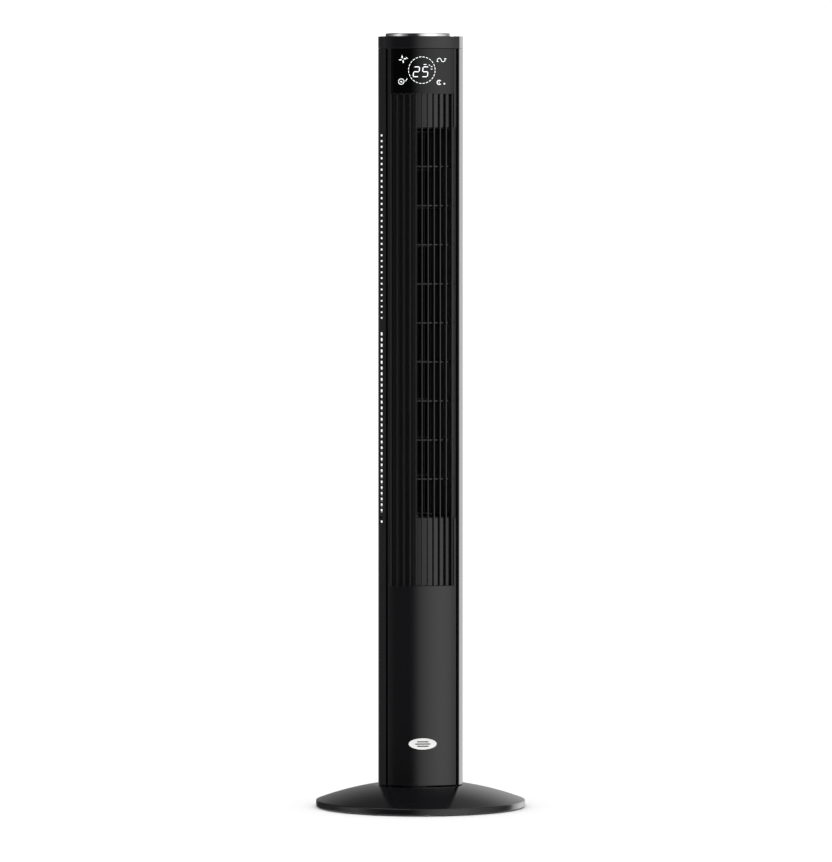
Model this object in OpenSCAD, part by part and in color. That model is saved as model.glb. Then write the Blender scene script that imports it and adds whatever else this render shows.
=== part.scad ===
// Tower fan with an oscillating body: a round weighted foot, a slim upright
// body with a ribbed front, a cross-flow impeller and a touch-free LED panel.
// Origin: centre of the foot, on the floor. Front faces -Y, +Z is up.

/* [Foot] */
// Outside diameter of the round foot (mm)
foot_dia = 322; // [314:1:330]
// Height of the rubber pads (mm)
pad_height = 2.2; // [2.0:0.1:2.6]
// How many rubber pads and foot screws
pad_count = 6; // [4:1:8]

/* [Body] */
// Radius of the rounded back and sides (mm)
body_radius = 65; // [64.8:0.1:65.6]
// Wall of the body mouldings (mm)
wall = 2.4; // [2.2:0.1:2.6]
// Height of the whole fan to the top of the trim ring (mm)
total_height = 1189; // [1189:1:1193]

/* [Grille] */
// Distance between neighbouring front ribs (mm)
rib_pitch = 9.4; // [9.2:0.1:9.5]
// Width of one front rib (mm)
rib_width = 1.8; // [1.6:0.1:3.0]
// Bays of the outlet between cross bars
outlet_bays = 10; // [8:1:12]
// Height of one side intake slot (mm)
slot_open = 5.8; // [5.0:0.1:6.8]
// Height of one slot in the upper bank (mm)
upper_slot_open = 3.2; // [3.0:0.1:6.6]
// Distance between neighbouring intake slots (mm)
slot_pitch = 8.75; // [8.6:0.05:8.8]

/* [Impeller] */
// Outside radius of the cross-flow impeller (mm)
impeller_radius = 42; // [40:0.5:42]
// Blades round the impeller
blade_count = 24; // [18:1:30]

/* [Controls] */
// Push buttons on top
button_count = 5; // [3:1:5]
// Button radius (mm)
button_radius = 4.8; // [4.0:0.1:5.0]

/* [Hidden] */
$fn = 96;
e = 0.01;

// Foot: the dome is part of a ball whose centre is far below the floor
foot_r = foot_dia / 2;
dome_r = 454;
dome_z = 40.4 - dome_r;
deck_z = 34.6;
skin = 2.6;

// Body heights
body_z = 36.2;
gland_z = 6.4;
panel_top_z = 343;
outlet_z = 447;
outlet_top_z = 1045;
display_z = 1096;
seam_z = 1165;
cap_top_z = 1184;
bay = (outlet_top_z - outlet_z) / outlet_bays;

// Front: a wide arc that cuts the round body
front_r = 110;
front_y = front_r - 46.8;
panel_half = 52;
rim_half = 48.4;
floor_r = front_r - 6;
lip_x = 55.6;
lip_y = -27.4;

// Outlet window, seen from the front
out_x0 = -9.5;
out_x1 = 50.8;
rib_x0 = -1 - 5 * rib_pitch;

// Impeller axis and scroll
imp_x = -7;
imp_y = 7;
imp_z0 = 453;
imp_z1 = 1039;
scroll_x = -3;
scroll_y = 3;
scroll_r = 53.5;

// Swing drive
col_r = 18;
sun_teeth = 36;
pin_teeth = 12;
gear_m = 1.5;
gear_cd = gear_m * (sun_teeth + pin_teeth) / 2;

// Colours
c_gloss = "#17181a";
c_satin = "#222326";
c_dark = "#2d2e31";
c_grey = "#6d7074";
c_steel = "#b4b7ba";
c_white = "#e9ebec";
c_green = "#1f5a3a";
c_rubber = "#1b1b1b";

// ---------- shared helpers ----------

// Flat ring sector about the front arc's centre
module band(ro, ri) {
  translate([0, front_y]) difference() { circle(r = ro, $fn = 256); circle(r = ri, $fn = 256); }
}

module outline(inset = 0) {
  intersection() {
    circle(r = body_radius - inset, $fn = 192);
    translate([0, front_y]) circle(r = front_r - inset, $fn = 256);
  }
}

// Vertical extrusion from z0 to z1
module lift(z0, z1) {
  translate([0, 0, z0]) linear_extrude(height = z1 - z0) children();
}

module both_sides() {
  children();
  mirror([1, 0, 0]) children();
}

module ring2(ro, ri) {
  difference() { circle(r = ro); circle(r = ri); }
}

// Copies round the Z axis
module around(n, r, a0 = 0) {
  for (i = [0:n - 1]) rotate([0, 0, a0 + i * 360 / n]) translate([r, 0, 0]) children();
}

// Screw standing on its tip side up: head at the bottom, shank upwards
module screw_up(head_r, head_h, shank_r, length) {
  difference() {
    union() {
      cylinder(r = head_r, h = head_h, $fn = 32);
      cylinder(r = shank_r, h = length, $fn = 24);
    }
    translate([-head_r * 0.6, -0.35, -e]) cube([head_r * 1.2, 0.7, head_h * 0.5]);
    translate([-0.35, -head_r * 0.6, -e]) cube([0.7, head_r * 1.2, head_h * 0.5]);
  }
}

// Gear outline with straight-sided teeth
function tooth(n, i, m) =
  let (rp = m * n / 2, a = i * 360 / n, half = m * 3.14159 / 4 - 0.22,
       rt = rp + 0.72 * m, rr = rp - 1.05 * m,
       wt = half - 0.72 * m * 0.40, wr = half + 1.05 * m * 0.30)
  [for (p = [[rr, -wr], [rt, -wt], [rt, wt], [rr, wr]])
    [p[0] * cos(a) - p[1] * sin(a), p[0] * sin(a) + p[1] * cos(a)]];
module gear2(n, m) {
  polygon([for (i = [0:n - 1]) each tooth(n, i, m)]);
}

// ---------- foot ----------

module dome2(inset, top) {
  intersection() {
    translate([0, dome_z]) circle(r = dome_r - inset, $fn = 720);
    translate([0, pad_height]) square([foot_r - inset, top - pad_height]);
  }
}

module foot_cover() {
  color(c_gloss) difference() {
    union() {
      rotate_extrude($fn = 256) difference() {
        dome2(0, deck_z);
        translate([0, -1]) dome2(skin, deck_z - skin + 1 - pad_height);
        translate([0, 0]) square([foot_r - skin, pad_height + 2.4]);
      }
      around(pad_count, foot_r - 16, 30) translate([0, 0, pad_height + 2.6])
        cylinder(r = 4, h = 10.6);
      around(4, 27, 45) translate([0, 0, deck_z - 5]) cylinder(r = 3.4, h = 3.5);
    }
    translate([0, 0, deck_z - 10]) cylinder(r = col_r + 0.2, h = 20);
    around(pad_count, foot_r - 16, 30) translate([0, 0, pad_height]) cylinder(r = 1.5, h = 11.4, $fn = 24);
    around(4, 27, 45) translate([0, 0, deck_z - 6]) cylinder(r = 1.3, h = 4.6, $fn = 24);
    translate([0, foot_r - 14, gland_z]) rotate([-90, 0, 0]) cylinder(r = 4, h = 30, $fn = 48);
    translate([0, foot_r - 14, gland_z]) rotate([-90, 0, 0]) cylinder(r = 4.9, h = 9.4, $fn = 48);
  }
}

module foot_base() {
  color(c_dark) difference() {
    lift(pad_height, pad_height + 2.4) circle(r = foot_r - skin - 0.3, $fn = 256);
    around(pad_count, foot_r - 16, 30) translate([0, 0, pad_height - e]) {
      cylinder(r = 1.7, h = 4, $fn = 24);
      cylinder(r = 3.4, h = 1.45, $fn = 32);
    }
    around(8, 70, 0) translate([-9, -2, pad_height - e]) cube([18, 4, 4]);
    translate([-5, foot_r - 16, 0]) cube([10, 20, 10]);
  }
}

module ballast_plate() {
  color(c_grey) difference() {
    lift(pad_height + 2.4, pad_height + 8) circle(r = foot_r - 24, $fn = 192);
    lift(pad_height, 20) circle(r = 60);
    lift(pad_height, 20) translate([-7, 50]) square([14, 120]);
    lift(pad_height, 20) circle(r = 50);
  }
}

module rubber_pads() {
  color(c_rubber) around(pad_count, foot_r - 30, 0) cylinder(r = 10, h = pad_height, $fn = 64);
}

module foot_screws() {
  color(c_steel) around(pad_count, foot_r - 16, 30) translate([0, 0, pad_height + 0.1])
    screw_up(3.1, 1.3, 1.4, 10.5);
}

module cord_gland() {
  color(c_rubber) translate([0, foot_r - 12, gland_z]) rotate([-90, 0, 0]) difference() {
    union() {
      cylinder(r = 3.95, h = 11.4, $fn = 48);
      cylinder(r = 4.8, h = 7.3, $fn = 48);
    }
    translate([0, 0, -e]) cylinder(r = 3.05, h = 16, $fn = 48);
  }
}

// ---------- swing bearing and drive ----------

module swing_column() {
  color(c_dark) difference() {
    union() {
      lift(deck_z - 9, 56.3) circle(r = col_r);
      lift(deck_z - 9, deck_z - 5) circle(r = 36);
    }
    lift(0, 60) circle(r = 13);
    around(4, 27, 45) translate([0, 0, 20]) cylinder(r = 1.7, h = 20, $fn = 24);
    around(3, 15.5, 30) translate([0, 0, 48]) cylinder(r = 1.1, h = 20, $fn = 24);
  }
}

module column_screws() {
  color(c_steel) around(4, 27, 45) translate([0, 0, deck_z - 10.6]) screw_up(3.2, 1.6, 1.2, 7.4);
}

module thrust_ring() {
  color(c_white) lift(deck_z, body_z) ring2(31, 20);
}

module fixed_gear() {
  color(c_white) difference() {
    lift(56.3, 61.3) gear2(sun_teeth, gear_m);
    lift(50, 70) circle(r = 13);
    around(3, 15.5, 30) translate([0, 0, 50]) cylinder(r = 1.3, h = 20, $fn = 24);
  }
}

module gear_screws() {
  color(c_steel) around(3, 15.5, 30) translate([0, 0, 62.9]) rotate([180, 0, 0])
    screw_up(2.2, 1.6, 1.0, 12);
}

module seat_points() {
  for (a = [30, 90, 150]) rotate([0, 0, a]) translate([58.4, 0, 0]) children();
  for (s = [-1, 1]) translate([s * 52.5, -21.4, 0]) children();
}

module turntable() {
  color(c_dark) difference() {
    union() {
      lift(body_z, body_z + 4) intersection() {
        circle(r = body_radius - wall - 0.4, $fn = 192);
        translate([0, front_y]) circle(r = front_r - wall - 0.6, $fn = 256);
        union() {
          square([92, 200], center = true);
          translate([-80, lip_y + 2.6]) square([160, 200]);
        }
      }
      lift(body_z, 56) circle(r = 23);
      around(6, 0, 0) translate([22, -1, body_z + 3]) cube([26, 2, 5]);
    }
    lift(0, 70) circle(r = col_r + 0.06);
    seat_points() translate([0, 0, body_z - e]) {
      cylinder(r = 1.7, h = 10, $fn = 24);
      cylinder(r = 3.1, h = 1.8, $fn = 32);
    }
    bracket_feet() translate([0, 0, body_z - e]) cylinder(r = 1.3, h = 6, $fn = 24);
  }
}

module turntable_screws() {
  color(c_steel) seat_points() translate([0, 0, body_z + 0.1]) screw_up(2.9, 1.6, 1.4, 14);
}

module bracket_feet() {
  for (s = [-1, 1]) translate([s * 33, 38, 0]) children();
  for (s = [-1, 1]) translate([s * 33, 14, 0]) children();
}

module swing_bracket() {
  color(c_steel) difference() {
    union() {
      lift(63.2, 65.2) translate([-37, 9]) square([74, 34]);
      bracket_feet() translate([0, 0, body_z + 4]) cylinder(r = 3.6, h = 64 - body_z - 4);
    }
    translate([0, gear_cd, 60]) cylinder(r = 4.4, h = 10);
    lift(60, 70) circle(r = 20);
    bracket_feet() translate([0, 0, body_z]) cylinder(r = 1.1, h = 16, $fn = 24);
    for (s = [-1, 1]) translate([s * 27, gear_cd, 60]) cylinder(r = 1.4, h = 10, $fn = 24);
  }
}

module swing_motor() {
  color(c_steel) difference() {
    union() {
      translate([0, gear_cd, 65.2]) cylinder(r = 22, h = 17);
      lift(65.2, 66.4) translate([-31, gear_cd - 5]) square([62, 10]);
      translate([-8, gear_cd - 27, 67]) cube([16, 8, 13]);
    }
    translate([0, gear_cd, 65]) cylinder(r = 2.55, h = 12.3, $fn = 48);
    for (s = [-1, 1]) translate([s * 27, gear_cd, 60]) cylinder(r = 1.4, h = 10, $fn = 24);
  }
}

module bracket_screws() {
  color(c_steel) {
    for (s = [-1, 1]) translate([s * 27, gear_cd, 68]) rotate([180, 0, 0]) screw_up(2.6, 1.6, 1.2, 6);
    bracket_feet() translate([0, 0, body_z + 0.2]) cylinder(r = 1.0, h = 11, $fn = 24);
  }
}

module swing_pinion() {
  color(c_white) translate([0, gear_cd, 0]) {
    lift(56.6, 61.6) rotate([0, 0, 15]) gear2(pin_teeth, gear_m);
    translate([0, 0, 61.6 - e]) cylinder(r = 2.5, h = 15.4 + e, $fn = 48);
  }
}

// ---------- body shells ----------

module shell_ring2() {
  difference() {
    outline();
    circle(r = body_radius - wall, $fn = 192);
    translate([-lip_x, -80]) square([2 * lip_x, 80]);
  }
}

// Small L-shaped return behind the groove beside the front
module shell_lip2() {
  both_sides() {
    translate([lip_x, -29.4]) square([2, 4]);
    translate([47, lip_y]) square([10.4, 2]);
    polygon([[52.3, lip_y], [52.3, lip_y + 0.5], [56, lip_y + 0.5], [56, -30.6], [lip_x, -30.6]]);
  }
}

// A bank of louvres is a main window round the back and a narrow one at the
// front, either side of a solid strip. Bars cross both.
main_window = [48, 162.2];
side_window = [188.5, 202];
function bank_height(n, open) = (n - 1) * slot_pitch + open;
module slot_window(z0, n, open) {
  for (w = [main_window, side_window]) translate([0, 0, z0]) rotate([0, 0, w[0]])
    rotate_extrude(angle = w[1] - w[0], $fn = 192)
      translate([body_radius - wall - 1, 0]) square([wall + 2, bank_height(n, open)]);
}
module louvres(z0, n, open) {
  for (w = [main_window, side_window]) for (i = [0:n - 2])
    translate([0, 0, z0 + i * slot_pitch + open]) rotate([0, 0, w[0] - 0.6])
      rotate_extrude(angle = w[1] - w[0] + 1.2, $fn = 192)
        translate([body_radius - wall + 0.25, 0]) square([wall - 0.5, slot_pitch - open]);
}

module rear_shell() {
  color(c_satin) difference() {
    union() {
      difference() {
        lift(body_z, seam_z) union() { shell_ring2(); shell_lip2(); }
        slot_window(436.6, 34, slot_open);
        slot_window(751.2, 33, upper_slot_open);
      }
      louvres(436.6, 34, slot_open);
      louvres(751.2, 33, upper_slot_open);
      // stiffeners behind the louvres
      stiffener_places() lift(428, 1046) translate([body_radius - wall - 2.4, -1]) square([2.9, 2]);
      // posts for the turntable screws
      seat_points() translate([0, 0, body_z + 4]) cylinder(r = 4.4, h = 18);
      // posts for the circuit board
      board_points() translate([0, 24.6, 0]) rotate([-90, 0, 0]) cylinder(r = 3.6, h = 35);
      // rests for the two duct plates
      for (z = [outlet_z - 6.8, outlet_top_z + 1]) rest_points()
        translate([-2.6, -3, z]) cube([5.6, 6, 5.8]);
    }
    seat_points() translate([0, 0, body_z]) cylinder(r = 1.5, h = 18, $fn = 24);
    board_points() translate([0, 20, 0]) rotate([-90, 0, 0]) cylinder(r = 1.2, h = 14, $fn = 24);
    rest_points() for (z = [outlet_z - 8, outlet_top_z]) translate([-0.2, 0, z])
      cylinder(r = 1.2, h = 8, $fn = 24);
    // screw holes for the front
    front_points() translate([0, lip_y - 1, 0]) rotate([-90, 0, 0]) cylinder(r = 1.5, h = 6, $fn = 24);
  }
}

module stiffener_places() {
  for (a = [58, 84, 110, 136]) rotate([0, 0, a]) children();
}

// Notches that let a duct plate pass the stiffeners
module stiffener_notches(z) {
  stiffener_places() translate([body_radius - wall - 2.8, -1.4, z]) cube([6, 2.8, 8]);
}

module rest_points() {
  for (a = [20, 100, 130, 341]) rotate([0, 0, a]) translate([body_radius - wall - 2.6, 0, 0]) children();
}

module duct_screws() {
  color(c_steel) rest_points() {
    translate([-0.2, 0, outlet_z - 8.3]) screw_up(2.2, 1.5, 1.0, 9.8);
    translate([-0.2, 0, outlet_top_z + 8.3]) rotate([180, 0, 0]) screw_up(2.2, 1.5, 1.0, 9.8);
  }
}

module board_points() {
  for (s = [-1, 1]) for (z = [190, 290]) translate([s * 22, 0, z]) children();
}

module front_points() {
  for (s = [-1, 1]) for (z = [70, 200, 325, 395, 1120]) translate([s * 50.2, 0, z]) children();
}

// Solid side rail of the front parts
module rail2() {
  intersection() {
    band(front_r, 60);
    both_sides() translate([rim_half, -60]) square([panel_half - rim_half, 60 + lip_y]);
  }
}

module front_panel() {
  color(c_gloss) difference() {
    union() {
      lift(body_z, panel_top_z) intersection() {
        band(front_r, front_r - wall);
        translate([-panel_half, -60]) square([2 * panel_half, 60]);
      }
      lift(body_z, panel_top_z) rail2();
    }
    front_points() translate([0, lip_y + 1, 0]) rotate([90, 0, 0]) cylinder(r = 0.95, h = 6, $fn = 24);
  }
}

module panel_screws() {
  color(c_steel) front_points() translate([0, lip_y + 3.3, 0]) rotate([90, 0, 0])
    screw_up(2.2, 1.3, 0.9, 7.2);
}

module rib_set(first, last, ro, ri) {
  intersection() {
    band(ro, ri);
    for (k = [first:last]) translate([rib_x0 + k * rib_pitch - rib_width / 2, -60])
      square([rib_width, 60 + lip_y]);
  }
}

module closed2(x0, x1) {
  intersection() {
    band(floor_r, floor_r - 2);
    translate([x0, -60]) square([x1 - x0, 60 + lip_y]);
  }
}

module front_grille() {
  color(c_gloss) difference() {
    union() {
      // closed ends above and below the outlet
      for (z = [[panel_top_z, outlet_z], [outlet_top_z, display_z]]) lift(z[0], z[1]) {
        rail2();
        closed2(-rim_half - e, rim_half + e);
        rib_set(0, 10, front_r - 0.6, floor_r - 1);
      }
      // level with the outlet: closed on one side, open ribs on the other
      lift(outlet_z - e, outlet_top_z + e) {
        intersection() { rail2(); translate([-60, -60]) square([60, 60]); }
        intersection() {
          band(front_r - 4, 60);
          translate([out_x1, -60]) square([panel_half - out_x1, 60 + lip_y]);
        }
        closed2(-rim_half - e, out_x0);
        rib_set(0, 4, front_r - 0.6, floor_r - 1);
        rib_set(5, 10, front_r - 0.6, floor_r - 3);
      }
      for (i = [1:outlet_bays - 1]) lift(outlet_z + i * bay - 1, outlet_z + i * bay + 1)
        intersection() {
          band(floor_r - 0.6, floor_r - 3);
          translate([out_x0 - 2, -60]) square([out_x1 + 1 - out_x0 + 2, 60 + lip_y]);
        }
      // posts for the display board
      led_points() translate([0, -31.8, 0]) rotate([90, 0, 0]) cylinder(r = 2.4, h = 3, $fn = 32);
      // frame round the display
      lift(display_z, seam_z) {
        rail2();
        intersection() {
          band(front_r - 2.2, front_r - 4.4);
          difference() {
            translate([-rim_half - e, -60]) square([2 * rim_half + 2 * e, 60]);
            translate([-42, -60]) square([84, 60]);
          }
        }
      }
      for (z = [display_z, seam_z - 5]) lift(z, z + 5) intersection() {
        band(front_r - 2.2, front_r - 4.4);
        translate([-rim_half - e, -60]) square([2 * rim_half + 2 * e, 60]);
      }
      lift(display_z, display_z + 1.6) intersection() {
        band(front_r - 2.2, floor_r - 2);
        translate([-rim_half - e, -60]) square([2 * rim_half + 2 * e, 60 + lip_y]);
      }
    }
    front_points() translate([0, lip_y + 1, 0]) rotate([90, 0, 0]) cylinder(r = 0.95, h = 6, $fn = 24);
    led_points() translate([0, -31, 0]) rotate([90, 0, 0]) cylinder(r = 0.9, h = 3.4, $fn = 24);
  }
}

// ---------- display ----------

// One stroke with square ends, from a to b
module stroke(a, b, w) {
  d = b - a;
  translate(a) rotate([0, 0, atan2(d[1], d[0])]) translate([-w / 4, -w / 2])
    square([norm(d) + w / 2, w]);
}

module seg7(segs, w, h, t) {
  g = 0.35;
  lean = 0.12;
  pts = [for (y = [0, h / 2, h]) for (x = [0, w]) [x + lean * y, y]];
  pairs = [[4, 5], [5, 3], [3, 1], [0, 1], [2, 0], [4, 2], [2, 3]];
  for (s = segs) {
    a = pts[pairs[s][0]];
    b = pts[pairs[s][1]];
    u = (b - a) / norm(b - a);
    stroke(a + u * (t / 2 + g), b - u * (t / 2 + g), t);
  }
}

module digits2() {
  translate([-14.8, 1122]) seg7([0, 1, 6, 4, 3], 8.2, 15.0, 1.15);
  translate([-1.2, 1122]) seg7([0, 5, 6, 2, 3], 8.2, 15.0, 1.15);
  stroke([1.5, 1140.6], [5.5, 1140.6], 0.9);
  stroke([9.4, 1140.2], [10.8, 1139.2], 0.8);
  stroke([12.4, 1137.4], [14.6, 1137.4], 0.8);
  stroke([12.4, 1133.6], [14.6, 1133.6], 0.8);
}

module dashes2() {
  for (i = [0:23]) rotate([0, 0, 7.5 + i * 15]) intersection() {
    difference() { circle(r = 20.7); circle(r = 19.9); }
    polygon([[0, 0], [30, -30 * tan(5)], [30, 30 * tan(5)]]);
  }
}

module arc2(r, w, a0, a1) {
  n = 10;
  polygon(concat(
    [for (i = [0:n]) let (a = a0 + (a1 - a0) * i / n) [(r + w / 2) * cos(a), (r + w / 2) * sin(a)]],
    [for (i = [n:-1:0]) let (a = a0 + (a1 - a0) * i / n) [(r - w / 2) * cos(a), (r - w / 2) * sin(a)]]));
}

module icons2() {
  // rotor with four petals, for speed
  translate([-30.5, 1148.6]) {
    for (a = [0:90:270]) rotate([0, 0, a + 8]) translate([1.2, 0])
      polygon([[0, 0], [1.6, 1.3], [4.2, 0.7], [4.6, -0.3], [1.8, -0.5]]);
  }
  stroke([-25.4, 1151.6], [-23, 1149.6], 0.7);
  // double-ended sweep, for swing
  translate([25.4, 1147]) arc2(3.2, 0.8, 10, 200);
  translate([31.4, 1148.2]) arc2(3.2, 0.8, 190, 380);
  translate([21.2, 1144.8]) square([3, 0.8]);
  translate([33.4, 1149.2]) square([3, 0.8]);
  // clock with a tail, for the timer
  translate([-32.6, 1114.6]) {
    for (a = [0, 184]) arc2(4.2, 0.8, a, a + 176);
    stroke([0, 0], [1.6, -1.4], 0.9);
    stroke([0, 0.6], [-1.6, -0.6], 0.9);
  }
  stroke([-26.2, 1115.2], [-23.8, 1119], 0.8);
  // moon and dot, for sleep
  translate([25.3, 1113.4]) { arc2(3.3, 1.0, 40, 320); stroke([0, -1.6], [0, 1.8], 0.8); }
  translate([33.4, 1111.4]) circle(r = 1.2, $fn = 24);
}

module ring2d() { translate([-1.3, 1132]) dashes2(); }

// Marks are let into the face of the lens
module inlay(depth) {
  intersection() {
    translate([0, -30, 0]) rotate([90, 0, 0]) linear_extrude(height = 30) children();
    lift(display_z - 5, seam_z + 5) band(front_r, front_r - depth);
  }
}

module display_lens() {
  color(c_gloss) difference() {
    lift(display_z + 0.4, seam_z - 0.4) intersection() {
      band(front_r, front_r - 2.2);
      translate([-rim_half + 0.3, -60]) square([2 * rim_half - 0.6, 60]);
    }
    inlay(0.5) digits2();
    inlay(0.5) ring2d();
    inlay(0.5) icons2();
  }
}

module display_ring() { color(c_white) inlay(0.5) ring2d(); }
module display_digits() { color(c_white) inlay(0.5) digits2(); }
module display_icons() { color(c_white) inlay(0.5) icons2(); }

module led_points() {
  for (s = [-1, 1]) for (z = [display_z + 12, display_z + 57]) translate([s * 43.8, 0, z]) children();
}

module display_screws() {
  color(c_steel) led_points() translate([0, -28.7, 0]) rotate([90, 0, 0]) screw_up(2.0, 1.5, 0.8, 5.4);
}

module display_board() {
  color(c_green) {
    difference() {
      translate([-46, -31.8, display_z + 7]) cube([92, 1.6, 56]);
      led_points() translate([0, -33, 0]) rotate([-90, 0, 0]) cylinder(r = 1.1, h = 6, $fn = 24);
    }
    translate([-17, -41, 1118]) cube([32, 9.2, 26]);
  }
}

module badge() {
  color(c_white) intersection() {
    translate([0, -30, 100.6]) rotate([90, 0, 0]) linear_extrude(height = 30)
      polygon([for (i = [0:71]) [21.5 * cos(i * 5), 8.75 * sin(i * 5)]]);
    lift(80, 120) band(front_r + 1.1, front_r);
  }
}

// ---------- air duct ----------

// Everything inside the body, clear of the shells
module inside2(g) {
  intersection() {
    circle(r = body_radius - wall - g, $fn = 192);
    translate([0, front_y]) circle(r = floor_r - 3 - g, $fn = 256);
    union() {
      translate([-46.4, -80]) square([92.8, 160]);
      translate([-80, lip_y + 2 + g]) square([160, 120]);
    }
  }
}

module scroll_wall() {
  color(c_grey) {
    lift(outlet_z + 2, outlet_top_z - 2) translate([scroll_x, scroll_y]) intersection() {
      ring2(scroll_r, scroll_r - 1.6);
      polygon([[0, 0], [90, -90 * tan(20)], [90, 90], [-90 / tan(60), 90], [-90, 90],
               [-90, 90 * tan(30)]]);
    }
    lift(outlet_z + 2, outlet_top_z - 2)
      polygon([[45.9, -14.2], [47.4, -14.2], [50.6, -25.3], [48.8, -25.3]]);
  }
}

// Back of the grille floor at a given x
function back_y(x) = front_y - sqrt(pow(floor_r - 2, 2) - x * x);

module air_tongue() {
  x0 = -24;
  x1 = out_x0 - 2.3;
  color(c_grey) lift(outlet_z + 2, outlet_top_z - 2)
    polygon([[x0, back_y(x0) + 0.12], [(x0 + x1) / 2, back_y((x0 + x1) / 2) + 0.12],
             [x1, back_y(x1) + 0.12], [x1, back_y(x1) + 0.9], [x1 - 3, back_y(x1) + 1.7],
             [x0 + 2, back_y(x0) + 1.1], [x0, back_y(x0) + 0.7]]);
}

module duct_floor() {
  color(c_dark) difference() {
    union() {
      lift(outlet_z - 1, outlet_z + 2) inside2(0.3);
      translate([imp_x, imp_y, outlet_z - 1]) cylinder(r = 16, h = 5);
    }
    translate([imp_x, imp_y, 430]) cylinder(r = 12, h = 40);
    translate([imp_x, imp_y, 0]) around(3, 28, 30) translate([0, 0, 430]) cylinder(r = 2.2, h = 40, $fn = 24);
    translate([36, 30, 430]) cylinder(r = 5, h = 40, $fn = 48);
    stiffener_notches(outlet_z - 3);
    rest_points() translate([-0.2, 0, 430]) cylinder(r = 1.3, h = 40, $fn = 24);
  }
}

module duct_ceiling() {
  color(c_dark) difference() {
    union() {
      lift(outlet_top_z - 2, outlet_top_z + 1) inside2(0.3);
      translate([imp_x, imp_y, outlet_top_z]) cylinder(r = 12, h = 10);
    }
    translate([imp_x, imp_y, 1000]) cylinder(r = 8, h = 80, $fn = 64);
    translate([36, 30, 1000]) cylinder(r = 5, h = 80, $fn = 48);
    stiffener_notches(outlet_top_z - 4);
    rest_points() translate([-0.2, 0, 1000]) cylinder(r = 1.3, h = 80, $fn = 24);
  }
}

// ---------- fan motor and impeller ----------

module motor_can() {
  color(c_steel) translate([imp_x, imp_y, 0]) difference() {
    union() {
      translate([0, 0, 398]) cylinder(r = 36, h = 42);
      translate([0, 0, 394]) cylinder(r = 9, h = 4);
    }
    translate([0, 0, 400.4]) cylinder(r = 33.6, h = 37.2);
    translate([0, 0, 380]) cylinder(r = 4.04, h = 80, $fn = 64);
    around(3, 28, 30) translate([0, 0, 436]) cylinder(r = 1.5, h = 10, $fn = 24);
  }
}

module motor_stator() {
  color(c_grey) translate([imp_x, imp_y, 0]) lift(405, 433) ring2(33.6, 21);
}

module motor_bushes() {
  color(c_rubber) translate([imp_x, imp_y, 440]) around(3, 28, 30) difference() {
    union() {
      cylinder(r = 5, h = outlet_z - 1 - 440, $fn = 48);
      cylinder(r = 2.1, h = outlet_z + 2 - 440, $fn = 32);
    }
    translate([0, 0, -e]) cylinder(r = 1.2, h = 20, $fn = 24);
  }
}

module motor_screws() {
  color(c_steel) translate([imp_x, imp_y, outlet_z + 3.4]) around(3, 28, 30) rotate([180, 0, 0])
    screw_up(2.8, 1.4, 1.1, 13);
}

module motor_rotor() {
  color(c_grey) translate([imp_x, imp_y, 0]) lift(404, 434) ring2(20, 4);
}

module drive_shaft() {
  color(c_steel) translate([imp_x, imp_y, 395]) cylinder(r = 4, h = 68, $fn = 64);
}

// Cross-flow blades: short curved strips round the rim
module blades2() {
  for (i = [0:blade_count - 1]) rotate([0, 0, i * 360 / blade_count])
    polygon([[impeller_radius - 0.4, 0.0], [impeller_radius - 3.4, 1.3],
             [impeller_radius - 7.0, 1.6], [impeller_radius - 10.4, 0.6],
             [impeller_radius - 10.4, -0.5], [impeller_radius - 6.8, 0.5],
             [impeller_radius - 3.6, 0.3], [impeller_radius - 0.6, -1.0]]);
}

module impeller() {
  seg = (imp_z1 - imp_z0 - 2) / outlet_bays;
  color(c_dark) translate([imp_x, imp_y, 0]) {
    lift(imp_z0, imp_z1) blades2();
    for (i = [0:outlet_bays]) lift(imp_z0 + i * seg, imp_z0 + i * seg + 2)
      ring2(impeller_radius, i == 0 || i == outlet_bays ? (i == 0 ? 4 : 3) : 29);
    lift(imp_z0, imp_z0 + 10) ring2(9, 4);
    lift(imp_z1 - 10, imp_z1) ring2(8, 3);
  }
}

module top_stub() {
  color(c_steel) translate([imp_x, imp_y, imp_z1 - 10]) cylinder(r = 3, h = 24, $fn = 64);
}

module top_bearing() {
  color(c_grey) translate([imp_x, imp_y, 0]) lift(outlet_top_z, outlet_top_z + 9) ring2(8, 3.04);
}

// ---------- electronics ----------

module main_board() {
  color(c_green) difference() {
    translate([-28, 23, 175]) cube([56, 1.6, 130]);
    board_points() translate([0, 20, 0]) rotate([-90, 0, 0]) cylinder(r = 1.5, h = 14, $fn = 24);
  }
}

module board_parts() {
  color(c_dark) {
    translate([-18, 5, 200]) cube([24, 18, 28]);
    translate([12, 8, 205]) cube([12, 15, 18]);
    for (i = [0:2]) translate([-14 + i * 14, 23, 250]) rotate([90, 0, 0]) cylinder(r = 5, h = 16, $fn = 32);
    translate([-16, 20.5, 268]) cube([16, 2.5, 16]);
    translate([4, 15, 270]) cube([18, 8, 7]);
  }
}

module board_screws() {
  color(c_steel) board_points() translate([0, 21.6, 0]) rotate([-90, 0, 0]) screw_up(2.6, 1.4, 1.0, 10);
}

// ---------- top ----------

ring_y = 8;
ring_r = 53;

module top_cap() {
  color(c_gloss) difference() {
    union() {
      lift(seam_z + 0.5, cap_top_z) difference() {
        outline();
        outline(wall);
      }
      lift(cap_top_z - wall, cap_top_z) outline();
      lift(seam_z - 6, cap_top_z) difference() { // skirt inside the shell
        intersection() { outline(wall + 0.3); translate([-80, -20]) square([160, 100]); }
        outline(wall + 1.9);
      }
    }
    translate([0, ring_y, 1180]) cylinder(r = 49, h = 20, $fn = 192);
  }
}

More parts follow.
